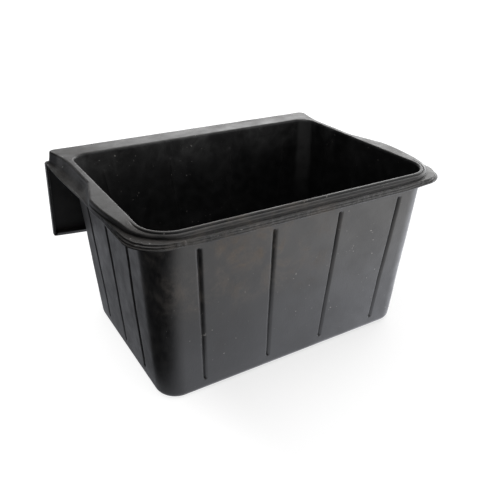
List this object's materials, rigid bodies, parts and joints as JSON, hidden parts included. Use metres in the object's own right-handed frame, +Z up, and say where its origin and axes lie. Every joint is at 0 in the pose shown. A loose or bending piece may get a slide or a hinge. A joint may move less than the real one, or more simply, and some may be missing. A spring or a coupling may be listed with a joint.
{
  "type": "hook-over feed bucket",
  "caption": "Rectangular tapered stable feed bucket in black moulded rubber-plastic, with a stepped rim, fluted walls and a rear ledge and hanging plate that hook over a stall board.",
  "frame": {"origin": "bottom centre of the whole moulding's bounding box, on the plane the base stands on", "axes": "+Z up; +Y towards the hook ledge and hanging plate, so the plain front faces -Y; +X to the right seen from the front; the part is symmetric about X = 0"},
  "size_m": [0.454, 0.3326, 0.237],
  "materials": {
    "moulded_body": "satin black moulded rubber-polyethylene blend, faint mottling, dust and scuffs"
  },
  "bodies": {
    "root": {"floor_panel": "moulded_body", "front_wall": "moulded_body", "right_wall": "moulded_body", "rear_wall": "moulded_body", "left_wall": "moulded_body", "front_rim": "moulded_body", "left_rim_flare": "moulded_body", "right_rim_flare": "moulded_body", "left_skirt": "moulded_body", "right_skirt": "moulded_body", "hook_ledge": "moulded_body", "hook_plate": "moulded_body", "hook_bottom_return": "moulded_body", "hook_left_return": "moulded_body", "hook_right_return": "moulded_body"}
  },
  "joints": []
}
